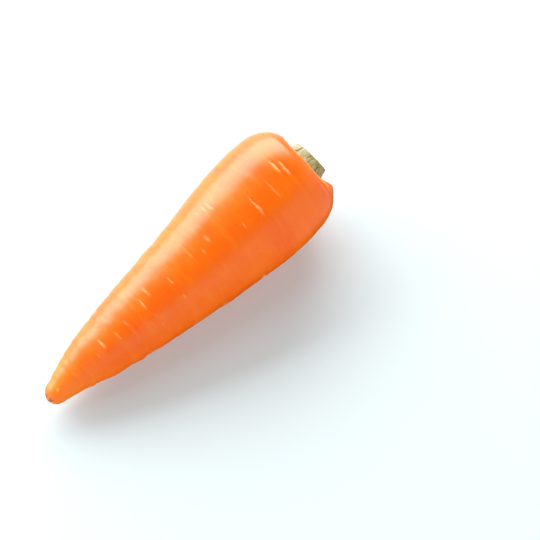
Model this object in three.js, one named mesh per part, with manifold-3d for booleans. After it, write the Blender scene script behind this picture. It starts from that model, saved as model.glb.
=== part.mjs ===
// A stout, blunt-ended carrot lying on its side, with its leaf stalks trimmed to a short stub.
// Millimetres, +Z up. The root runs along X with its crown towards +X, and it rests on a small
// flattened patch of its underside at Z = 0. The origin is the middle of the bounding box's base.
import * as THREE from "three";
import { mergeVertices } from "three/addons/utils/BufferGeometryUtils.js";
import Module from "manifold-3d";

const { PI, abs, atan2, cos, exp, hypot, max, sin } = Math;
const { degToRad, smoothstep } = THREE.MathUtils;

// Driving dimensions of the root.
const ROOT_LENGTH = 156; // tip to the crest of the crown
const SHOULDER_DIAMETER = 54.3; // the widest place, just below the crown
const SHOULDER_RADIUS = SHOULDER_DIAMETER / 2;
const RESTING_TILT = degToRad(7.6); // lying on its tapered side lifts the crown end of the axis
const FLAT_DEPTH = 0.5; // how far the resting patch is pressed into the round underside

// Driving dimensions of the stub of leaf stalks.
const STUB_HEIGHT = 8.2; // from the crown's seat to the knife cut, at the axis
const STUB_RADIUS = 12.2; // where the stalks leave the crown
const STUB_TAPER = 0.29; // share of the radius that is lost by STUB_HEIGHT
const CUT_SLOPE = Math.tan(degToRad(10.5)); // the knife came down a little aslant
const SEAM = 0.25; // clear space between one stalk and the next

// Mesh fineness.
const RINGS_PER_OUTLINE_POINT = 3;
const ROOT_SEGMENTS = 44;
const CRESCENT_STEPS = 6; // along half of a crescent's outer edge
const STALK_STEPS = 2;

// The root's outline, from the tip to the seat of the stalks: [share of ROOT_LENGTH, share of
// SHOULDER_RADIUS].
const ROOT_OUTLINE = [
  [0, 0],
  [0.0064, 0.082], // rounded, broken tip
  [0.0141, 0.138],
  [0.0257, 0.184],
  [0.0534, 0.219],
  [0.1087, 0.326],
  [0.1936, 0.461],
  [0.324, 0.602],
  [0.4746, 0.718],
  [0.62, 0.854],
  [0.7556, 0.963],
  [0.856, 1],
  [0.931, 0.982],
  [0.976, 0.897], // shoulder
  [0.99, 0.76],
  [0.998, 0.61],
  [1, 0.52], // crest of the crown
  [0.996, 0.475], // the groove round the stub
];
const SEAT_ALONG = ROOT_OUTLINE.at(-1)[0] * ROOT_LENGTH;

// Where the root grew out of line: at which share of its length, over how long a stretch, and how
// far its axis is pushed along Y and Z.
const BENDS = [
  { share: 0, reach: 0.05, sideways: -0.8, up: 0.3 },
  { share: 0.13, reach: 0.08, sideways: 0.45, up: 0.2 },
  { share: 0.56, reach: 0.26, sideways: -1.2, up: -0.4 },
  { share: 1, reach: 0.1, sideways: 0.3, up: 0 },
];

// Low swellings of the crown's rim: where each lies round the axis and how wide it is, in degrees,
// how far from the axis it is highest, and how far it pushes the rim outwards along the axis.
const CROWN_LOBES = [
  { centre: 45, width: 26, radius: 17.8, height: 2.5 },
  { centre: 120, width: 22, radius: 15, height: 0.3 },
  { centre: 183, width: 28, radius: 17, height: 4.7 },
  { centre: 262, width: 26, radius: 16.5, height: 0.9 },
  { centre: 325, width: 24, radius: 16, height: 1.1 },
];
const LOBE_INNER_RADIUS = STUB_RADIUS + 0.8; // lobes start outside the groove round the stub
const LOBE_REACH = 0.2 * SHOULDER_RADIUS;

// Three whorls of leaf stalks, from the outside in. A stalk's section is a crescent, thick in the
// middle and thin along its two clasping edges.
const WHORLS = [
  { name: "outer_stalk", count: 5, turn: -36, thickness: 3, edge: 1.4 },
  { name: "middle_stalk", count: 4, turn: 58, thickness: 2.9, edge: 1.3 },
  { name: "inner_stalk", count: 3, turn: 25, thickness: 2.7, edge: 1.2 },
];

const rootSkin = new THREE.MeshStandardMaterial({ color: 0xf96a0c, roughness: 0.42, metalness: 0 });
const outerStalkSkin = new THREE.MeshStandardMaterial({ color: 0xd5cb9c, roughness: 0.7, metalness: 0 });
const innerStalkSkin = new THREE.MeshStandardMaterial({ color: 0x9c9152, roughness: 0.75, metalness: 0 });

// A bell curve: 1 at the middle and near 0 two widths away.
function bell(offset, width) {
  return exp(-((offset / width) ** 2));
}

// The difference between two directions round the axis, between -PI and PI.
function turnBetween(a, b) {
  return atan2(sin(a - b), cos(a - b));
}

// Slow swellings that keep the root from being perfectly round, as a factor of its radius.
function outOfRound(share, angle) {
  const oval = 0.012 * cos(2 * angle - 0.8 + 1.6 * share);
  const threeSided = 0.008 * cos(3 * angle + 1.1 - 4 * share);
  const wavy = 0.006 * sin(17 * share + 0.9 * sin(angle)) + 0.005 * sin(29 * share + angle);
  return 1 + oval + threeSided + wavy;
}

// How far the crown's rim is pushed along the axis by its lobes. The groove round the stub stays.
function crownLift(share, radius, angle) {
  if (share < 0.9) return 0;
  return CROWN_LOBES.reduce((lift, lobe) => {
    const outwards = bell(radius - lobe.radius, LOBE_REACH) * smoothstep(radius, LOBE_INNER_RADIUS, lobe.radius);
    const around = bell(turnBetween(angle, degToRad(lobe.centre)), degToRad(lobe.width));
    return lift + lobe.height * outwards * around;
  }, 0);
}

// The root as turned on its axis, along +X, before nature bends it.
function turnedRoot() {
  const outline = new THREE.SplineCurve(
    ROOT_OUTLINE.map(([share, radius]) => new THREE.Vector2(radius * SHOULDER_RADIUS, share * ROOT_LENGTH)),
  );
  const points = outline.getPoints(RINGS_PER_OUTLINE_POINT * (ROOT_OUTLINE.length - 1));
  points.push(new THREE.Vector2(0, SEAT_ALONG));
  return new THREE.LatheGeometry(points, ROOT_SEGMENTS).rotateZ(-PI / 2);
}

function grownRoot() {
  const geometry = turnedRoot();
  const place = geometry.getAttribute("position");
  for (let i = 0; i < place.count; i++) {
    const along = place.getX(i);
    const share = along / ROOT_LENGTH;
    const radius = hypot(place.getY(i), place.getZ(i));
    const angle = atan2(place.getZ(i), place.getY(i));
    const grown = radius * outOfRound(share, angle);
    let y = grown * cos(angle);
    let z = grown * sin(angle);
    for (const bend of BENDS) {
      y += bend.sideways * bell(share - bend.share, bend.reach);
      z += bend.up * bell(share - bend.share, bend.reach);
    }
    place.setXYZ(i, along + crownLift(share, radius, angle), y, z);
  }
  return geometry;
}

// A crescent section round the stub's axis, facing outwards in the direction of heading.
function crescent(outerRadius, thickness, edge, halfAngle, heading) {
  const outline = [];
  const addPoint = (share, radius) => {
    const angle = heading + share * halfAngle;
    outline.push(new THREE.Vector2(radius * cos(angle), radius * sin(angle)));
  };
  for (let k = -CRESCENT_STEPS; k <= CRESCENT_STEPS; k++) {
    const rounding = abs(k) === CRESCENT_STEPS ? 0.3 * edge : 0;
    addPoint(k / CRESCENT_STEPS, outerRadius - rounding);
  }
  for (let k = CRESCENT_STEPS; k >= -CRESCENT_STEPS; k -= 2) {
    const share = k / CRESCENT_STEPS;
    addPoint(share, outerRadius - edge - (thickness - edge) * (1 - share ** 2));
  }
  return new THREE.Shape(outline);
}

// Stands a flat section on the crown's seat and draws it up to the sloping cut, leaning inwards.
function drawnUp(section, curveSegments) {
  const geometry = new THREE.ExtrudeGeometry(section, {
    depth: 1,
    steps: STALK_STEPS,
    curveSegments,
    bevelEnabled: false,
  });
  const place = geometry.getAttribute("position");
  for (let i = 0; i < place.count; i++) {
    const rise = place.getZ(i);
    const lean = 1 - STUB_TAPER * rise ** 0.8;
    const y = place.getX(i) * lean;
    const z = place.getY(i) * lean;
    const height = STUB_HEIGHT - CUT_SLOPE * z;
    place.setXYZ(i, SEAT_ALONG + SEAM + rise * (height - SEAM), y, z);
  }
  return geometry;
}

function leafStalks() {
  const stalks = [];
  let outerRadius = STUB_RADIUS;
  for (const { name, count, turn, thickness, edge } of WHORLS) {
    const halfAngle = PI / count - SEAM / outerRadius;
    const skin = stalks.length === 0 ? outerStalkSkin : innerStalkSkin;
    const whorl = new THREE.Group();
    for (let n = 0; n < count; n++) {
      const heading = degToRad(turn) + (2 * PI * n) / count;
      const section = crescent(outerRadius, thickness, edge, halfAngle, heading);
      const stalk = new THREE.Mesh(drawnUp(section, 1), skin);
      stalk.name = `${name}_${n + 1}`;
      whorl.add(stalk);
    }
    stalks.push(whorl);
    outerRadius -= thickness + SEAM;
  }
  const bud = new THREE.Mesh(drawnUp(new THREE.Shape().absarc(0, 0, outerRadius, 0, 2 * PI), 6), innerStalkSkin);
  bud.name = "heart_bud";
  return [...stalks, bud];
}

const wasm = await Module();
wasm.setup();

function toSolid(geometry) {
  const bare = geometry.clone();
  bare.deleteAttribute("normal");
  bare.deleteAttribute("uv");
  const merged = mergeVertices(bare);
  return new wasm.Manifold(
    new wasm.Mesh({
      numProp: 3,
      vertProperties: merged.getAttribute("position").array,
      triVerts: new Uint32Array(merged.index.array),
    }),
  );
}

function toGeometry(solid) {
  const { vertProperties, triVerts } = solid.getMesh();
  const geometry = new THREE.BufferGeometry();
  geometry.setAttribute("position", new THREE.BufferAttribute(vertProperties, 3));
  geometry.setIndex(new THREE.BufferAttribute(triVerts, 1));
  geometry.computeVertexNormals();
  return geometry;
}

// The root laid down at its resting tilt, with the flat pressed into its underside at Z = 0.
const lyingRoot = grownRoot().rotateY(-RESTING_TILT);
lyingRoot.computeBoundingBox();
const drop = -(lyingRoot.boundingBox.min.z + FLAT_DEPTH);
lyingRoot.translate(0, 0, drop);
const surface = new THREE.BoxGeometry(2 * ROOT_LENGTH, 2 * SHOULDER_DIAMETER, SHOULDER_DIAMETER);
surface.translate(ROOT_LENGTH / 2, 0, -SHOULDER_RADIUS);
const root = new THREE.Mesh(toGeometry(toSolid(lyingRoot).subtract(toSolid(surface))), rootSkin);
root.name = "root";

// The stalks are drawn about the root's own axis, so they tilt with it.
const stub = new THREE.Group();
stub.add(...leafStalks());
stub.rotation.y = -RESTING_TILT;
stub.position.z = drop;

// The whole carrot, centred over the origin.
const carrot = new THREE.Group();
carrot.add(root, stub);
const middle = new THREE.Box3().setFromObject(carrot, true).getCenter(new THREE.Vector3());
carrot.position.set(-middle.x, -middle.y, 0);

export default carrot;
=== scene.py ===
"""A stout carrot lying on a pale table, with its leaf stalks trimmed to a short stub.

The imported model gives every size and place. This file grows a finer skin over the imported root, turns
the plain leaf stalks into ribbed, drying ones, and sets the table, lights and camera. Lengths are in
metres, apart from the marks on the skin and the sizes of textures, which are in millimetres.
"""

import math

import bmesh
import bpy
import numpy as np
from bpy.props import FloatProperty, FloatVectorProperty, IntProperty, PointerProperty
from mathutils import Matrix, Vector, noise
from mathutils.bvhtree import BVHTree


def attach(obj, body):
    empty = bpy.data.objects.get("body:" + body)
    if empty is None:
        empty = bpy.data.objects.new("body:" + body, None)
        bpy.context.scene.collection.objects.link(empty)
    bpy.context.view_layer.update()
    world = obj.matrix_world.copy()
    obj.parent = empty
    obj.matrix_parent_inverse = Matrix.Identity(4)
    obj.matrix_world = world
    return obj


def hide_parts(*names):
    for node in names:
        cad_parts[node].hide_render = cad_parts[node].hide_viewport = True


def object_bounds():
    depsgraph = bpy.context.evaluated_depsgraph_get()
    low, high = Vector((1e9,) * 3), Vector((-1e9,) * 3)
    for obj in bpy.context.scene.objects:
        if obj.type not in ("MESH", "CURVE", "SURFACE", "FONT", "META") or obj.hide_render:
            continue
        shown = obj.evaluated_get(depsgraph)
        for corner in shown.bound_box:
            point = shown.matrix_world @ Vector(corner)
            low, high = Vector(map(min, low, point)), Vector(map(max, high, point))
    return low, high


bl_info = {
    "name": "Trimmed Carrot",
    "version": (1, 0, 0),
    "blender": (4, 5, 0),
    "location": "3D View > Sidebar > Carrot",
    "description": "Grows a carrot's skin and leaf stalk stub over its packed model",
    "category": "Object",
}

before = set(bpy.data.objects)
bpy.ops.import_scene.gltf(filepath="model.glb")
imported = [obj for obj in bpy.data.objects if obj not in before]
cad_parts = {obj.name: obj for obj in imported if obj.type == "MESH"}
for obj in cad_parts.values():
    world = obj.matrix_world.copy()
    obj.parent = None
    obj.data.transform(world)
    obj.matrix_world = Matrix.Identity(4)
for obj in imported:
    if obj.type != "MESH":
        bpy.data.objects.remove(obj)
CAD_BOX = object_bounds()

MM = 0.001


# Colours, noise and soft steps.


def linear(hex_colour):
    """An sRGB hex colour as the linear RGBA that Blender's sockets take."""
    channels = [int(hex_colour[i : i + 2], 16) / 255 for i in (1, 3, 5)]
    return [c / 12.92 if c <= 0.04045 else ((c + 0.055) / 1.055) ** 2.4 for c in channels] + [1.0]


def colour_property(name, description, hex_colour):
    return FloatVectorProperty(
        name=name,
        description=description,
        subtype="COLOR",
        size=4,
        min=0,
        max=1,
        default=linear(hex_colour),
    )


def per_size(millimetres):
    """The scale of a texture whose features are this big, on a model in metres."""
    return 1000 / millimetres


def noise_at(points, size, seed):
    """Smooth noise, mostly between -0.6 and 0.6, whose features have this size in each direction."""
    scaled = (points / np.asarray(size) + seed).reshape(-1, 3)
    values = np.fromiter((noise.noise(Vector(p)) for p in scaled), float, len(scaled))
    return values.reshape(points.shape[:-1])


def soft_step(low, high, x):
    """0 below low, 1 above high and smooth between."""
    t = np.clip((x - low) / (high - low), 0, 1)
    return t * t * (3 - 2 * t)


def bell(x):
    """1 at 0 and near 0 beyond 2 on either side."""
    return np.exp(-(x**2))


def turn_between(a, b):
    """The difference between two directions round the root, from -pi to pi."""
    return np.angle(np.exp(1j * (a - b)))


# What the user can change.


class CarrotRootSettings(bpy.types.PropertyGroup):
    """The root's skin."""

    skin: colour_property("Skin", "Main colour of the washed skin", "#fa6f06")
    deep_skin: colour_property("Deep skin", "Redder orange where the flesh is densest", "#f55e04")
    pale_skin: colour_property("Pale skin", "Lighter orange of the faint rings and the tip", "#ff9418")
    scar: colour_property("Scars", "Pale cork of the cross-wise scars", "#ffbd74")
    # Painted shade: darker orange laid into the fold beside each scar.
    fold_shade: colour_property("Creases", "Deep orange of the fold beside each scar", "#d2520a")
    collar: colour_property("Collar", "Weathered rim where the stub leaves the crown", "#f9b77c")
    # Brown of the tip's dried spots, also laid along one side of the tip as painted shade.
    tip: colour_property("Broken tip", "Dried end where the thin tap root broke off", "#983a06")
    swell_height: FloatProperty(
        name="Swell height",
        description="Height of the low uneven swellings, near the tip",
        subtype="DISTANCE",
        default=0.42 * MM,
        min=0,
        soft_max=1 * MM,
    )
    ripple_depth: FloatProperty(
        name="Ripple depth",
        description="Depth of the faint rings across the skin, in the middle of the root",
        subtype="DISTANCE",
        default=0.05 * MM,
        min=0,
        soft_max=0.5 * MM,
    )
    seed: IntProperty(
        name="Seed", description="Another seed lays the small marks differently", default=7
    )


class CarrotStubSettings(bpy.types.PropertyGroup):
    """The trimmed leaf stalks."""

    cream: colour_property("Cream", "Blanched flesh of a stalk", "#b4a78e")
    green: colour_property("Green", "What is left of the stalk's green", "#9a9340")
    brown: colour_property("Brown", "Dried fibres and edges", "#64491f")
    pith: colour_property("Pith", "Dry pith on the knife cut", "#b39a70")
    rib_spacing: FloatProperty(
        name="Rib spacing",
        description="Distance from one lengthwise rib of a stalk to the next",
        subtype="DISTANCE",
        default=1.5 * MM,
        min=0.5 * MM,
        soft_max=4 * MM,
    )
    rib_height: FloatProperty(
        name="Rib height",
        description="How far the ribs stand out",
        subtype="DISTANCE",
        default=0.16 * MM,
        min=0,
        soft_max=0.5 * MM,
    )


class CarrotStageSettings(bpy.types.PropertyGroup):
    """The table, the lights and the camera."""

    table: colour_property("Table", "Opal white table top", "#bcc9cb")
    glow: FloatProperty(
        name="Table glow",
        description="Brightness of the light that the table top lets through from below",
        default=0.16,
        min=0,
    )
    window_power: FloatProperty(
        name="Window light",
        description="Power of the large soft light behind the carrot",
        unit="POWER",
        default=46,
        min=0,
    )
    fill_power: FloatProperty(
        name="Fill light",
        description="Power of the polarised soft light in front of the carrot, which adds no gloss",
        unit="POWER",
        default=10.5,
        min=0,
    )
    sky_power: FloatProperty(
        name="Sky light",
        description="Power of the polarised soft light high above the carrot, which adds no gloss",
        unit="POWER",
        default=7,
        min=0,
    )
    wall_strength: FloatProperty(
        name="Pale walls",
        description="Brightness of the pale wall behind the carrot",
        default=1.25,
        min=0,
    )
    front_share: FloatProperty(
        name="Front walls",
        description="Brightness of the other walls, as a share of the one behind",
        subtype="FACTOR",
        default=0.5,
        min=0,
        max=1,
    )
    ceiling_strength: FloatProperty(
        name="Dark ceiling",
        description="Brightness of the ceiling",
        default=0.1,
        min=0,
    )
    azimuth: FloatProperty(
        name="Camera azimuth",
        description="Which side the camera looks from",
        subtype="ANGLE",
        default=math.radians(-43.4),
    )
    elevation: FloatProperty(
        name="Camera elevation",
        description="How steeply the camera looks down",
        subtype="ANGLE",
        default=math.radians(64.3),
    )
    distance: FloatProperty(
        name="Camera distance",
        description="From the aim point to the camera",
        subtype="DISTANCE",
        default=0.6706,
        min=0.2,
    )


# Places on the root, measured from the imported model.


def node_points(name):
    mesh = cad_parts[name].data
    points = np.empty(3 * len(mesh.vertices))
    mesh.vertices.foreach_get("co", points)
    return points.reshape(-1, 3)


class OwnAxes:
    """The root's own axes: along it from tip to crown, then to its left side, then up its height."""

    def __init__(self):
        bud = np.unique(np.round(node_points("heart_bud"), 6), axis=0)
        bud = bud[np.argsort(bud[:, 0])]
        ring = len(bud) // 3  # the bud is three rings, one behind the other
        foot, cut = bud[:ring].mean(axis=0), bud[-ring:].mean(axis=0)
        along = (cut - foot) / np.linalg.norm(cut - foot)
        side = np.cross((0, 0, 1), along)
        side /= np.linalg.norm(side)
        self.basis = np.array([along, side, np.cross(along, side)])
        reach = (node_points("root") - foot) @ along
        self.tip = foot + reach.min() * along
        self.length = reach.max() - reach.min()
        self.seat = -reach.min()
        self.stub_height = np.linalg.norm(cut - foot)

    def own(self, points):
        return (points - self.tip) @ self.basis.T

    def world(self, points):
        return self.tip + points @ self.basis


def round_angles(points):
    """Radius and direction of each point round the root's own axis."""
    return np.hypot(points[..., 1], points[..., 2]), np.arctan2(points[..., 2], points[..., 1])


# The skin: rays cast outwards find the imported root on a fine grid.

COLUMNS = 160
TIP_ROWS, BODY_ROWS, SHOULDER_ROWS, SEAT_ROWS = 26, 452, 100, 16
TIP_CENTRE = 5.5 * MM  # rays fan out to the tip from this far inside it
CROWN_DEPTH = 14 * MM  # rays fan out to the shoulder from this far below the crown
CROWN_RING = 12 * MM  # on a ring of this radius
WAVES_KEPT = 14  # swellings round the root up to this many are kept, and flat facets go
EVENING_PASSES = 220  # these even out the facets along the root
TIP_EASE, BODY_EASE = 0.03, 0.47  # strength of a pass on tip and crown, and what the body adds
BODY_START = 12 * MM  # from here on the body has its full strength


def ray_rows(length):
    """For each row of the grid: where on the axis its rays start, how far out, and how far they lean."""
    below_crown = length - CROWN_DEPTH
    tip = [(TIP_CENTRE, 0, lean) for lean in np.linspace(-90, 0, TIP_ROWS, endpoint=False)[1:]]
    body = [(x, 0, 0) for x in np.linspace(TIP_CENTRE, below_crown, BODY_ROWS, endpoint=False)]
    shoulder = [
        (below_crown, CROWN_RING, lean) for lean in np.linspace(0, 90, SHOULDER_ROWS, endpoint=False)
    ]
    seat = [(below_crown, out, 90) for out in np.linspace(CROWN_RING, 0, SEAT_ROWS, endpoint=False)]
    return np.array(tip + body + shoulder + seat)


def cast_skin(axes):
    """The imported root's surface as a grid of points in its own axes, without its facets."""
    faces = [tuple(face.vertices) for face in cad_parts["root"].data.polygons]
    tree = BVHTree.FromPolygons(axes.own(node_points("root")).tolist(), faces)
    starts, rings, leans = ray_rows(axes.length).T
    leans = np.radians(leans)
    turns = np.arange(COLUMNS) * 2 * math.pi / COLUMNS
    forwards = np.array([1.0, 0, 0])
    outwards = np.stack([np.zeros(COLUMNS), np.cos(turns), np.sin(turns)], axis=1)
    origins = starts[:, None, None] * forwards + rings[:, None, None] * outwards
    rays = np.sin(leans)[:, None, None] * forwards + np.cos(leans)[:, None, None] * outwards
    pairs = zip(origins.reshape(-1, 3), rays.reshape(-1, 3))
    reach = np.array([tree.ray_cast(Vector(o), Vector(ray))[3] for o, ray in pairs], float)
    reach = reach.reshape(len(starts), COLUMNS)
    waves = np.fft.rfft(reach, axis=1)
    waves[:, WAVES_KEPT:] = 0
    ring_start = (rings * np.cos(leans))[:, None]
    radius = np.fft.irfft(waves, COLUMNS, axis=1) + ring_start
    ease = TIP_EASE + BODY_EASE * soft_step(0, BODY_START, starts) * (1 - soft_step(0, 0.5, leans))
    for _ in range(EVENING_PASSES):
        change = (radius[:-2] + radius[2:]) / 2 - radius[1:-1]
        radius[1:-1] += ease[1:-1, None] * change
    return origins + (radius - ring_start)[:, :, None] * rays


def grid_normals(points):
    """Outward unit normals of a grid whose columns close on themselves."""
    onwards = np.gradient(points, axis=0)
    around = np.roll(points, -1, axis=1) - np.roll(points, 1, axis=1)
    normals = np.cross(around, onwards)
    return normals / np.linalg.norm(normals, axis=2, keepdims=True).clip(1e-12)


# The scars that catch the eye, left by fine rootlets in a row along the root: millimetres from the
# tip, degrees round the root, length and width in millimetres, and strength.
MAIN_SCARS = [
    (6.8, 110, 1.4, 1.1, 0.55),
    (29.5, 116, 2.5, 0.6, 0.4),
    (34, 103, 4.6, 0.8, 0.8),
    (41.5, 113, 3.4, 0.6, 0.5),
    (47.5, 106, 3.4, 0.7, 0.5),
    (58.2, 102, 5, 0.7, 0.8),
    (63.2, 92, 5, 0.8, 0.5),
    (74.2, 105, 4, 0.7, 0.6),
    (74, 133, 2.2, 0.8, 0.35),
    (88, 93, 9, 0.6, 0.4),
    (93.5, 107, 2.6, 0.7, 0.35),
    (98.2, 99, 3.6, 1.3, 0.45),
    (106.5, 71, 5, 0.8, 0.5),
    (109, 74, 6, 0.9, 0.6),
    (112, 70, 4, 0.7, 0.45),
    (114, 116, 2.8, 0.7, 0.45),
    (123.6, 109, 9, 0.8, 0.75),
    (134, 109, 9, 0.6, 0.45),
    (141.8, 94, 6.6, 0.9, 0.9),
    (144.6, 101, 6.8, 0.9, 0.9),
]
OTHER_SCAR_ROWS = (15, 195, 285)  # degrees round the root
STRAY_SCARS = 36
SCAR_RISE, FOLD_DEPTH = 0.1, 0.13  # millimetres, of the strongest scar
RIPPLE_LENGTHS = (12, 46)  # millimetres round the root, at the tip and at the crown
RIPPLE_REACH = 75  # millimetres from the tip, over which the ripples are deeper and then fade


def scatter_scars(rng, length):
    """The main scars, then the other three rows of them and a few strays, laid by chance."""
    scars = list(MAIN_SCARS)
    for row in OTHER_SCAR_ROWS:
        place = 12.0
        while place < 0.95 * length:
            grown = 2 + 6 * rng.uniform(0.4, 1) * place / length
            width, strength = rng.uniform(0.6, 1.1), rng.uniform(0.35, 0.95)
            scars.append((place, row + rng.normal(0, 9), grown, width, strength))
            place += rng.uniform(5, 15)
    for _ in range(STRAY_SCARS):
        place, turn = rng.uniform(8, 0.97 * length), rng.uniform(0, 360)
        scars.append((place, turn, rng.uniform(1.2, 3.5), 0.6, rng.uniform(0.15, 0.45)))
    return scars


class SkinMarks:
    """Heights, in millimetres, and colour masks of the marks on the skin, over its grid of points."""

    def __init__(self, points, settings):
        self.along = points[..., 0] / MM
        radii, self.turns = round_angles(points)
        self.radii = radii / MM
        self.length = self.along.max()
        self.settings = settings
        self.rng = np.random.default_rng(settings.seed)
        self.height, self.scar, self.fold_shade = (np.zeros(self.along.shape) for _ in range(3))
        self.waver = 0.6 * noise_at(points, (1.6 * MM, 2.2 * MM, 2.2 * MM), 3)
        self.add_ripples()
        self.add_scars()
        self.add_swellings(points)
        self.scar = np.clip(self.scar * (0.95 + 0.9 * noise_at(points, 1.1 * MM, 11)), 0, 1)
        self.fold_shade = np.clip(self.fold_shade, 0, 1)

    def distances(self, place, degrees, length, width):
        """Rows near a mark, and their points' distances across it and along it, in its half sizes."""
        reach = 4 * width + 1
        near = np.abs(self.along.mean(axis=1) - place) < reach
        away = turn_between(self.turns[near], math.radians(degrees)) * self.radii[near]
        across = (self.along[near] + self.waver[near] - place) / (width / 2)
        return near, across, away / (length / 2)

    def add_ripples(self):
        """Faint folds part of the way round, closer and deeper towards the tip."""
        place = 4.0
        while place < 0.97 * self.length:
            towards_tip = 1 - min(place / RIPPLE_REACH, 1)
            depth = self.settings.ripple_depth / MM * self.rng.uniform(0.3, 1.3)
            depth *= 1 + 2.2 * towards_tip
            length = self.rng.uniform(0.7, 2.4) * np.interp(place, (0, self.length), RIPPLE_LENGTHS)
            mark = (place, self.rng.uniform(0, 360), length, self.rng.uniform(1.3, 3.2))
            near, across, away = self.distances(*mark)
            fold = 0.5 * bell((across - 1.8) / 1.4) - bell(across)
            self.height[near] += depth * fold * bell(away)
            place += self.rng.uniform(0.25, 1.1)

    def add_swellings(self, points):
        """Low uneven swellings, longer round the root than along it, that fade towards the crown."""
        towards_tip = 1 - soft_step(0.25 * self.length, 0.8 * self.length, self.along)
        broad = noise_at(points, (5.5 * MM, 12 * MM, 12 * MM), 21)
        narrow = noise_at(points, (2.4 * MM, 7 * MM, 7 * MM), 31)
        share = (0.35 + 0.65 * towards_tip) * soft_step(1, 7, self.along)
        self.height += self.settings.swell_height / MM * share * (broad + 0.4 * narrow)

    def add_scars(self):
        """Short raised dashes of pale cork, each with a fold along one side, whose shade is painted
        darker orange.
        """
        for place, degrees, length, width, strength in scatter_scars(self.rng, self.length):
            near, across, away = self.distances(place, degrees, length, width)
            dash = strength * bell(across) * np.exp(-(away**4))
            fold = strength * bell((across - 1.6) / 0.8) * np.exp(-((0.85 * away) ** 4))
            self.scar[near] += dash
            # The fold's darker colour is painted shade.
            self.fold_shade[near] += 0.8 * fold
            self.height[near] += SCAR_RISE * dash - FOLD_DEPTH * fold


def closed_mesh(name, grid):
    """A closed mesh over a grid whose columns close on themselves, with one point at each end."""
    rows, columns = grid.shape[:2]
    points = np.concatenate([grid.reshape(-1, 3), [grid[0].mean(axis=0), grid[-1].mean(axis=0)]])
    index = np.arange(rows * columns).reshape(rows, columns)
    beside = np.roll(index, -1, axis=1)
    quads = np.stack([index[:-1], beside[:-1], beside[1:], index[1:]], axis=-1).reshape(-1, 4)
    first, last = rows * columns, rows * columns + 1
    fans = [(beside[0, k], index[0, k], first) for k in range(columns)]
    fans += [(index[-1, k], beside[-1, k], last) for k in range(columns)]
    mesh = bpy.data.meshes.new(name)
    mesh.from_pydata(points.tolist(), [], quads.tolist() + fans)
    mesh.shade_smooth()
    return mesh


def store(mesh, name, values):
    """Keeps one number at each point of the mesh, for its material to read."""
    padded = np.zeros(len(mesh.vertices))
    padded[: values.size] = values.ravel()
    mesh.attributes.new(name, "FLOAT", "POINT").data.foreach_set("value", padded)


def add_piece(name, mesh, material, slot, *stands_for):
    """Puts a finished mesh in the scene as a piece of the carrot."""
    piece = bpy.data.objects.new(name, mesh)
    bpy.context.scene.collection.objects.link(piece)
    mesh.materials.append(material)
    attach(piece, "root")
    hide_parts(*stands_for)


COLLAR_EDGE = (17 * MM, 21.5 * MM)  # the collar fades out between these radii
COLLAR_RAGGED = 1.5 * MM  # how far its edge strays
COLLAR_FOOT = (-5 * MM, -2 * MM)  # it begins between these heights over the stub's seat
COLLAR_TOP = (0.6 * MM, 2.2 * MM)  # and fades out between these, up the lobes of the crown's rim
BROKEN_TIP = (1 * MM, 3 * MM)  # the dried spots fade out between these distances from the tip
SIDE_SHADE_REACH = (3 * MM, 6 * MM)  # and so does the painted shade along one side of it
SHADED_SIDE, SIDE_SHADE_WIDTH = math.radians(195), 0.35  # radians round the root
SIDE_SHADE_STRENGTH = 0.6
WEATHERING = 0.25  # millimetres of roughness on collar and tip


def collar_mask(grid, axes, rough):
    """Where the crown's skin is weathered, round the foot of the stub."""
    radii, _ = round_angles(grid)
    above_seat = grid[..., 0] - axes.seat
    crown = soft_step(*COLLAR_FOOT, above_seat) * (1 - soft_step(*COLLAR_TOP, above_seat))
    return crown * (1 - soft_step(*COLLAR_EDGE, radii + COLLAR_RAGGED * rough))


def tip_mask(grid, turns):
    """Where the tip is painted brown: dried spots at its end, and painted shade along one side."""
    from_tip = grid[..., 0]
    spots = soft_step(-0.15, 0.1, noise_at(grid, 1.2 * MM, 52)) * (1 - soft_step(*BROKEN_TIP, from_tip))
    # Painted shade along one side of the tip.
    side = bell(turn_between(turns, SHADED_SIDE) / SIDE_SHADE_WIDTH)
    return np.maximum(spots, SIDE_SHADE_STRENGTH * side * (1 - soft_step(*SIDE_SHADE_REACH, from_tip)))


def grow_skin(axes, settings):
    """The root's skin as a fine closed mesh with its marks."""
    grid = cast_skin(axes)
    marks = SkinMarks(grid, settings)
    rough = noise_at(grid, 1.3 * MM, 41)
    collar = collar_mask(grid, axes, rough)
    tip = tip_mask(grid, marks.turns)
    height = marks.height + WEATHERING * rough * np.maximum(collar, tip)
    grown = axes.world(grid + MM * height[..., None] * grid_normals(grid))
    grown[..., 2] = grown[..., 2].clip(0)  # the resting patch stays flat on the table
    mesh = closed_mesh("carrot_root", grown)
    # The fold beside each scar carries painted shade, darker orange.
    for name, mask in (("scar", marks.scar), ("fold_shade", marks.fold_shade), ("collar", collar), ("tip", tip)):
        store(mesh, name, mask)
    return mesh


# The leaf stalks.

STALK_VOXEL = 0.22 * MM
EASED_EDGES = 2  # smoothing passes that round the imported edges
SUNK_BASE = 0.7 * MM  # how deep a stalk's foot is rooted in the crown
SWELL = 0.11 * MM  # how far a stalk's sides swell towards its neighbours
RIB_RADIUS = 11.5 * MM  # where the ribs are as far apart as their spacing says
CUT_EDGE = (0.2 * MM, 0.95 * MM)  # the firm edge of a cut stalk, inside which its pith has sunk
PITH_DEPTH = 0.75 * MM
CUT_ROUGHNESS = 0.35 * MM
GREEN_SIDE, GREEN_WIDTH = math.radians(125), 0.85  # radians: the side that kept most green
LEAST_GREEN = 0.25
WALL_LEAN = 0.6  # a face whose normal lies nearer than this to the root's axis is no side wall


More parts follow.
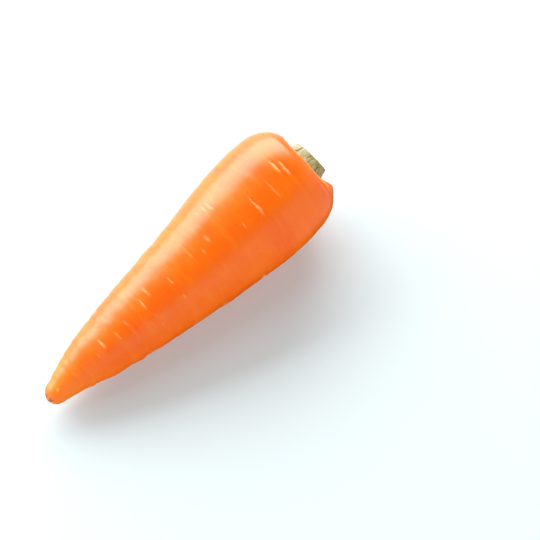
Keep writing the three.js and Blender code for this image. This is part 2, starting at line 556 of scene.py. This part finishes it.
def refined(name):
    """A fine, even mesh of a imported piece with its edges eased."""
    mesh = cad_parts[name].data.copy()
    solid = bmesh.new()
    solid.from_mesh(mesh)
    bmesh.ops.remove_doubles(solid, verts=solid.verts, dist=1e-6)
    solid.to_mesh(mesh)
    solid.free()
    mesh.materials.clear()
    model = bpy.data.objects.new(name + "_model", mesh)
    bpy.context.scene.collection.objects.link(model)
    remesh = model.modifiers.new("Even mesh", "REMESH")
    remesh.mode = "VOXEL"
    remesh.voxel_size = STALK_VOXEL
    ease = model.modifiers.new("Eased edges", "SMOOTH")
    ease.iterations = EASED_EDGES
    shown = model.evaluated_get(bpy.context.evaluated_depsgraph_get())
    fine = bpy.data.meshes.new_from_object(shown)
    fine.name = name
    bpy.data.objects.remove(model)
    bpy.data.meshes.remove(mesh)
    return fine


def side_wall_tree(name, axes):
    """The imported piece's walls without its foot and cut, for measuring how far a point is from them."""
    walls = [
        tuple(face.vertices)
        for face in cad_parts[name].data.polygons
        if abs(axes.basis[0] @ np.array(face.normal)) < WALL_LEAN
    ]
    return BVHTree.FromPolygons(axes.own(node_points(name)).tolist(), walls)


def grow_stalk(name, axes, settings):
    """One leaf stalk's trimmed base: ribbed sides, and a cut face whose pith has dried and sunk."""
    mesh = refined(name)
    points, normals = np.empty((2, 3 * len(mesh.vertices)))
    mesh.vertices.foreach_get("co", points)
    mesh.vertex_normals.foreach_get("vector", normals)
    points = axes.own(points.reshape(-1, 3))
    normals = normals.reshape(-1, 3) @ axes.basis.T
    _, turns = round_angles(points)
    rise = (points[:, 0] - axes.seat) / axes.stub_height
    sideways = 1 - soft_step(0.3, 0.9, np.abs(normals[:, 0]))
    waver = 2 * noise_at(points, 3 * MM, 5)
    ribs = np.cos(turns * RIB_RADIUS / settings.rib_spacing * 2 * math.pi + waver)
    crumple = noise_at(points, (3 * MM, 0.9 * MM, 0.9 * MM), 15)
    proud = settings.rib_height * (0.6 * ribs * sideways + 1.1 * crumple)
    points += (SWELL * sideways + proud)[:, None] * normals
    walls = side_wall_tree(name, axes)
    edge = np.array([walls.find_nearest(Vector(p))[3] for p in points])
    cut = soft_step(0.5, 0.85, normals[:, 0])
    sunk = cut * soft_step(*CUT_EDGE, edge)
    points[:, 0] -= PITH_DEPTH * sunk - CUT_ROUGHNESS * cut * noise_at(points, 1.4 * MM, 25)
    points[:, 0] -= SUNK_BASE * (1 - soft_step(0, 0.15, rise))
    mesh.vertices.foreach_set("co", axes.world(points).ravel())
    mesh.shade_smooth()
    greenness = LEAST_GREEN + (1 - LEAST_GREEN) * bell(turn_between(turns, GREEN_SIDE) / GREEN_WIDTH)
    for mask, values in (("rise", rise), ("cut", cut), ("sunk", sunk), ("green", greenness)):
        store(mesh, mask, values)
    return mesh


# Materials.

UNDER, OVER, MIXED = 6, 7, 2  # a Mix node's two colour inputs and its colour output, by their order
TONE_SIZE, RING_SIZE, PORE_SIZE = 22, 2.4, 0.9  # millimetres, on the skin
FIBRE_SIZE, PATCH_SIZE = 0.9, 1.6  # millimetres, on a stalk
GRAIN_SIZE = 3  # millimetres, of the table's frosting, drawn coarse so that it shows
PALE_TIP = (-0.083, -0.045)  # X, in metres: from the tip to where its paler colour ends
DULL_TIP = (-0.08, 0.0)  # and to where its duller shine ends
WHITE = linear("#ffffff")


def add_node(tree, kind, inputs=None, **settings):
    """Adds a node with its settings, and gives each listed input a value or a link from a socket."""
    node = tree.nodes.new(kind)
    for name, value in settings.items():
        setattr(node, name, value)
    for place, value in (inputs or {}).items():
        if isinstance(value, bpy.types.NodeSocket):
            tree.links.new(value, node.inputs[place])
        else:
            node.inputs[place].default_value = value
    return node


def new_material(name):
    material = bpy.data.materials.new(name)
    material.use_nodes = True
    material.node_tree.nodes.clear()
    return material, material.node_tree


def washed_carrot_skin(settings, axes):
    """Fresh carrot skin, washed: thin, waxy and slightly see-through over wet orange flesh."""
    # To the eye: a broad soft-edged shine, colour that glows from within, faint rings and cork scars.
    material, tree = new_material("Washed carrot skin")
    place = add_node(tree, "ShaderNodeTexCoord").outputs["Object"]
    pitch = math.asin(axes.basis[0][2])
    # Drawn out round the root, so that the noise makes faint rings.
    around = {"Vector": place, "Rotation": (0, pitch, 0), "Scale": (1, 0.14, 0.14)}
    ring_place = add_node(tree, "ShaderNodeMapping", around).outputs["Vector"]
    noises = [
        add_node(
            tree,
            "ShaderNodeTexNoise",
            {"Vector": vector, "Scale": per_size(size), "Detail": 3.0, "Roughness": roughness},
        ).outputs["Fac"]
        for vector, size, roughness in (
            (place, TONE_SIZE, 0.5),
            (ring_place, RING_SIZE, 0.6),
            (place, PORE_SIZE, 0.5),
        )
    ]
    tone, rings, pores = noises
    deep = {"Value": tone, "From Min": 0.4, "From Max": 0.65, "To Min": 0.0, "To Max": 0.7}
    pale = {"Value": rings, "From Min": 0.52, "From Max": 0.75, "To Min": 0.0, "To Max": 0.25}
    along = add_node(tree, "ShaderNodeSeparateXYZ", {"Vector": place}).outputs["X"]
    tip_start, tip_end = PALE_TIP
    pale_tip = {"Value": along, "From Min": tip_start, "From Max": tip_end, "To Min": 0.45, "To Max": 0.0}
    scar, fold_shade, collar, tip = (
        add_node(tree, "ShaderNodeAttribute", attribute_name=name).outputs["Fac"]
        for name in ("scar", "fold_shade", "collar", "tip")
    )
    colour = settings.skin
    for mask, layer in (
        (add_node(tree, "ShaderNodeMapRange", deep).outputs["Result"], settings.deep_skin),
        (add_node(tree, "ShaderNodeMapRange", pale).outputs["Result"], settings.pale_skin),
        (add_node(tree, "ShaderNodeMapRange", pale_tip).outputs["Result"], settings.pale_skin),
        # Painted shade in the fold beside each scar.
        (fold_shade, settings.fold_shade),
        (scar, settings.scar),
        (collar, settings.collar),
        # Dried spots at the tip, and painted shade along one side of it.
        (tip, settings.tip),
    ):
        laid = {"Factor": mask, UNDER: colour, OVER: layer}
        colour = add_node(tree, "ShaderNodeMix", laid, data_type="RGBA").outputs[MIXED]
    tip_start, tip_end = DULL_TIP
    dullness = {"Value": along, "From Min": tip_start, "From Max": tip_end, "To Min": 0.1, "To Max": 0.0}
    shine = {"Value": pores, "From Min": 0.3, "From Max": 0.7, "To Min": 0.27, "To Max": 0.34}
    smooth_skin = add_node(
        tree,
        "ShaderNodeMath",
        {
            0: add_node(tree, "ShaderNodeMapRange", shine).outputs["Result"],
            1: add_node(tree, "ShaderNodeMapRange", dullness).outputs["Result"],
        },
        operation="ADD",
    ).outputs["Value"]
    roughness = add_node(
        tree, "ShaderNodeMath", {0: scar, 1: 0.25, 2: smooth_skin}, operation="MULTIPLY_ADD"
    ).outputs["Value"]
    relief = add_node(
        tree, "ShaderNodeMath", {0: pores, 1: 0.3, 2: rings}, operation="MULTIPLY_ADD"
    ).outputs["Value"]
    bump = add_node(
        tree, "ShaderNodeBump", {"Height": relief, "Strength": 0.5, "Distance": 0.15 * MM}
    )
    shader = add_node(
        tree,
        "ShaderNodeBsdfPrincipled",
        {
            "Base Color": colour,
            "Roughness": roughness,
            "IOR": 1.52,
            "Subsurface Weight": 0.35,
            "Subsurface Radius": (1.0, 0.3, 0.08),
            "Subsurface Scale": 3.5 * MM,
            "Normal": bump.outputs["Normal"],
        },
    )
    add_node(tree, "ShaderNodeOutputMaterial", {"Surface": shader.outputs["BSDF"]})
    return material


def drying_leaf_stalk(name, settings, axes, dryness):
    """A trimmed leaf stalk a few days on: blanched and green flesh with brown fibres."""
    # To the eye: matt and stringy, cream to olive, and brown where it has dried.
    material, tree = new_material(name)
    place = add_node(tree, "ShaderNodeTexCoord").outputs["Object"]
    pitch = math.asin(axes.basis[0][2])
    # Drawn out along the stalk, so that the noise makes fibres.
    lengthwise = {"Vector": place, "Rotation": (0, pitch, 0), "Scale": (0.25, 1, 1)}
    fibre_place = add_node(tree, "ShaderNodeMapping", lengthwise).outputs["Vector"]
    fibres, patches = (
        add_node(
            tree,
            "ShaderNodeTexNoise",
            {"Vector": vector, "Scale": per_size(size), "Detail": 3.0, "Roughness": 0.6},
        ).outputs["Fac"]
        for vector, size in ((fibre_place, FIBRE_SIZE), (place, PATCH_SIZE))
    )
    rise, cut, sunk, green = (
        add_node(tree, "ShaderNodeAttribute", attribute_name=mask).outputs["Fac"]
        for mask in ("rise", "cut", "sunk", "green")
    )
    flecks = {"Value": fibres, "From Min": 0.52, "From Max": 0.66, "To Min": 0.0, "To Max": 0.85}
    greened = {"Value": patches, "From Min": 0.36, "From Max": 0.55, "To Min": 0.0, "To Max": 1.0}
    ends = {"Value": rise, "From Min": 0.75, "From Max": 1.05, "To Min": 0.0, "To Max": 0.55}
    green_mask = add_node(
        tree,
        "ShaderNodeMath",
        {0: green, 1: add_node(tree, "ShaderNodeMapRange", greened).outputs["Result"]},
        operation="MULTIPLY",
    ).outputs["Value"]
    fleck_mask = add_node(
        tree,
        "ShaderNodeMath",
        {0: add_node(tree, "ShaderNodeMapRange", flecks).outputs["Result"], 1: green, 2: dryness},
        operation="MULTIPLY_ADD",
        use_clamp=True,
    ).outputs["Value"]
    colour = settings.cream
    for mask, layer in (
        (green_mask, settings.green),
        (fleck_mask, settings.brown),
        (add_node(tree, "ShaderNodeMapRange", ends).outputs["Result"], settings.brown),
        (cut, settings.pith),
        (sunk, settings.brown),
    ):
        laid = {"Factor": mask, UNDER: colour, OVER: layer}
        colour = add_node(tree, "ShaderNodeMix", laid, data_type="RGBA").outputs[MIXED]
    bump = add_node(
        tree, "ShaderNodeBump", {"Height": fibres, "Strength": 0.5, "Distance": 0.2 * MM}
    )
    shader = add_node(
        tree,
        "ShaderNodeBsdfPrincipled",
        {
            "Base Color": colour,
            "Roughness": 0.68,
            "Subsurface Weight": 0.1,
            "Subsurface Radius": (1.0, 0.8, 0.4),
            "Subsurface Scale": 1 * MM,
            "Normal": bump.outputs["Normal"],
        },
    )
    add_node(tree, "ShaderNodeOutputMaterial", {"Surface": shader.outputs["BSDF"]})
    return material


def opal_acrylic(settings):
    """A still-life studio's table of opal acrylic, frosted on top and lit from below."""
    # To the eye: an even white without gloss, on which shadows stay light.
    material, tree = new_material("Frosted opal acrylic")
    place = add_node(tree, "ShaderNodeTexCoord").outputs["Object"]
    grain = add_node(tree, "ShaderNodeTexNoise", {"Vector": place, "Scale": per_size(GRAIN_SIZE)})
    bump = add_node(
        tree,
        "ShaderNodeBump",
        {"Height": grain.outputs["Fac"], "Strength": 0.05, "Distance": 0.1 * MM},
    )
    shader = add_node(
        tree,
        "ShaderNodeBsdfPrincipled",
        {
            "Base Color": settings.table,
            "Roughness": 0.75,
            "Emission Color": WHITE,
            "Emission Strength": settings.glow,
            "Normal": bump.outputs["Normal"],
        },
    )
    add_node(tree, "ShaderNodeOutputMaterial", {"Surface": shader.outputs["BSDF"]})
    return material


# The stage.

TABLE_SIZE = 6.0
WINDOW = {"heading": (0.21, 0.85, 0.467), "distance": 1.2, "size": (2.5, 1.0)}
FILL = {"heading": (-0.1, -0.9, 0.42), "distance": 1.2, "size": (2.4, 1.0)}
SKY = {"heading": (0.1, 0.5, 0.86), "distance": 1.2, "size": (2.0, 1.0)}
WALL_TOP = (32, 44)  # degrees above the horizon over which pale wall turns to dark ceiling
BEHIND = (-0.5, 0.87, 0.0)  # the heading of the bright wall and the lit side of the table
BESIDE = (0.8, -0.6, 0.0)  # the heading of another lit patch of the table, beyond the crown
FRONT_EDGE = (-0.2, 0.4)  # how far towards BEHIND the front walls turn to the bright one
PATCH_EDGE = (0.55, 0.75)  # how far towards BESIDE its lit patch begins
AIM_OFFSET = (0.0385, -0.0008)  # the aim point lies this far right of the carrot's middle and up


def add_area_light(name, centre, power, heading, distance, size):
    """A soft rectangular light in a direction from the carrot, facing it."""
    lamp = bpy.data.lights.new(name, "AREA")
    lamp.energy = power
    lamp.shape = "RECTANGLE"
    lamp.size, lamp.size_y = size
    light = bpy.data.objects.new(name, lamp)
    bpy.context.scene.collection.objects.link(light)
    away = Vector(heading).normalized()
    light.location = centre + distance * away
    light.rotation_euler = away.to_track_quat("Z", "Y").to_euler()
    return light


def set_camera(settings, centre):
    """A long lens from above the tip's side, so that the root runs up across the picture."""
    azimuth, elevation = settings.azimuth, settings.elevation
    back = Vector(
        (
            math.sin(azimuth) * math.cos(elevation),
            -math.cos(azimuth) * math.cos(elevation),
            math.sin(elevation),
        )
    )
    right = Vector((math.cos(azimuth), math.sin(azimuth), 0))
    up = back.cross(right)
    aim = centre + AIM_OFFSET[0] * right + AIM_OFFSET[1] * up
    lens = bpy.data.cameras.new("Camera")
    lens.lens = 100
    lens.sensor_width = 36
    lens.clip_start = 0.01
    camera = bpy.data.objects.new("Camera", lens)
    bpy.context.scene.collection.objects.link(camera)
    camera.location = aim + settings.distance * back
    camera.rotation_mode = "QUATERNION"
    camera.rotation_quaternion = back.to_track_quat("Z", "Y")
    bpy.context.scene.camera = camera


def set_room(settings):
    """Pale walls all round under a dark ceiling, so that the skin facing up keeps its full colour."""
    world = bpy.data.worlds.new("Room")
    world.use_nodes = True
    tree = world.node_tree
    tree.nodes.clear()
    heading = add_node(tree, "ShaderNodeTexCoord").outputs["Generated"]
    height = add_node(tree, "ShaderNodeSeparateXYZ", {"Vector": heading}).outputs["Z"]
    low, high = (math.sin(math.radians(degrees)) for degrees in WALL_TOP)
    walls = {
        "Value": height,
        "From Min": low,
        "From Max": high,
        "To Min": settings.wall_strength,
        "To Max": settings.ceiling_strength,
    }
    strength = add_node(
        tree, "ShaderNodeMapRange", walls, interpolation_type="SMOOTHSTEP"
    ).outputs["Result"]
    behind, beside = (
        add_node(
            tree, "ShaderNodeVectorMath", {0: heading, 1: place}, operation="DOT_PRODUCT"
        ).outputs["Value"]
        for place in (BEHIND, BESIDE)
    )
    front_low, front_high = FRONT_EDGE
    front = {
        "Value": behind,
        "From Min": front_low,
        "From Max": front_high,
        "To Min": settings.front_share,
    }
    front_share = add_node(
        tree, "ShaderNodeMapRange", front, interpolation_type="SMOOTHSTEP"
    ).outputs["Result"]
    # The table takes no part in gloss, so below the horizon the room stands in for it: pale, but dark
    # in front of the carrot, where its own shadow lies.
    higher = add_node(
        tree, "ShaderNodeMath", {0: height, 1: behind}, operation="MAXIMUM"
    ).outputs["Value"]
    over_dark = add_node(
        tree, "ShaderNodeMath", {0: higher, 1: 0.0}, operation="GREATER_THAN"
    ).outputs["Value"]
    patch_low, patch_high = PATCH_EDGE
    patch = add_node(
        tree,
        "ShaderNodeMapRange",
        {"Value": beside, "From Min": patch_low, "From Max": patch_high},
    ).outputs["Result"]
    lit_part = add_node(
        tree, "ShaderNodeMath", {0: over_dark, 1: patch}, operation="MAXIMUM"
    ).outputs["Value"]
    for share in (front_share, lit_part):
        strength = add_node(
            tree, "ShaderNodeMath", {0: strength, 1: share}, operation="MULTIPLY"
        ).outputs["Value"]
    room = add_node(tree, "ShaderNodeBackground", {"Color": WHITE, "Strength": strength})
    add_node(tree, "ShaderNodeOutputWorld", {"Surface": room.outputs["Background"]})
    bpy.context.scene.world = world


def lay_table(settings):
    """A wide pale table top under the carrot."""
    half = TABLE_SIZE / 2
    mesh = bpy.data.meshes.new("table_top")
    corners = [(-half, -half, 0), (half, -half, 0), (half, half, 0), (-half, half, 0)]
    mesh.from_pydata(corners, [], [(0, 1, 2, 3)])
    mesh.materials.append(opal_acrylic(settings))
    table = bpy.data.objects.new("table_top", mesh)
    bpy.context.scene.collection.objects.link(table)
    table.visible_glossy = False


# The add-on's buttons.


class CARROT_OT_root(bpy.types.Operator):
    """Grow the root's skin, with its rings, scars, crown and broken tip"""

    bl_idname = "carrot.grow_root"
    bl_label = "Grow Root"

    def execute(self, context):
        settings = context.scene.carrot_root
        axes = OwnAxes()
        skin = washed_carrot_skin(settings, axes)
        add_piece("carrot_root", grow_skin(axes, settings), skin, "root_skin", "root")
        return {"FINISHED"}


class CARROT_OT_stub(bpy.types.Operator):
    """Grow the trimmed bases of the leaf stalks, whorl by whorl, and the heart bud"""

    bl_idname = "carrot.grow_stub"
    bl_label = "Grow Leaf Stalk Stub"

    def execute(self, context):
        settings = context.scene.carrot_stub
        axes = OwnAxes()
        outer = drying_leaf_stalk("Drying leaf stalk", settings, axes, 0.0)
        inner = drying_leaf_stalk("Dried inner leaf stalk", settings, axes, 0.45)
        names = sorted(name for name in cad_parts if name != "root")
        for name in names:
            outermost = name.startswith("outer")
            material, slot = (outer, "outer_stalks") if outermost else (inner, "inner_stalks")
            add_piece("leaf_" + name, grow_stalk(name, axes, settings), material, slot, name)
        return {"FINISHED"}


class CARROT_OT_stage(bpy.types.Operator):
    """Lay the table and set the lights and the camera"""

    bl_idname = "carrot.set_stage"
    bl_label = "Set Stage"

    def execute(self, context):
        settings = context.scene.carrot_stage
        centre = (CAD_BOX[0] + CAD_BOX[1]) / 2
        lay_table(settings)
        set_room(settings)
        add_area_light("Window", centre, settings.window_power, **WINDOW)
        fill = add_area_light("Fill", centre, settings.fill_power, **FILL)
        sky = add_area_light("Sky", centre, settings.sky_power, **SKY)
        fill.visible_glossy = sky.visible_glossy = False
        set_camera(settings, centre)
        context.scene.view_settings.view_transform = "Standard"
        return {"FINISHED"}


class CARROT_PT_panel(bpy.types.Panel):
    """The carrot's buttons and settings"""

    bl_idname = "CARROT_PT_panel"
    bl_label = "Trimmed Carrot"
    bl_space_type = "VIEW_3D"
    bl_region_type = "UI"
    bl_category = "Carrot"

    def draw(self, context):
        for operator, settings in (
            (CARROT_OT_root, context.scene.carrot_root),
            (CARROT_OT_stub, context.scene.carrot_stub),
            (CARROT_OT_stage, context.scene.carrot_stage),
        ):
            box = self.layout.box()
            box.operator(operator.bl_idname)
            for name in settings.__annotations__:
                box.prop(settings, name)


SETTINGS = {
    "carrot_root": CarrotRootSettings,
    "carrot_stub": CarrotStubSettings,
    "carrot_stage": CarrotStageSettings,
}
CLASSES = (*SETTINGS.values(), CARROT_OT_root, CARROT_OT_stub, CARROT_OT_stage, CARROT_PT_panel)


def register():
    for cls in CLASSES:
        bpy.utils.register_class(cls)
    for name, group in SETTINGS.items():
        setattr(bpy.types.Scene, name, PointerProperty(type=group))


def unregister():
    for name in SETTINGS:
        delattr(bpy.types.Scene, name)
    for cls in reversed(CLASSES):
        bpy.utils.unregister_class(cls)


def main():
    register()
    bpy.ops.carrot.set_stage()
    bpy.ops.carrot.grow_root()
    bpy.ops.carrot.grow_stub()


if __name__ == "__main__":
    main()
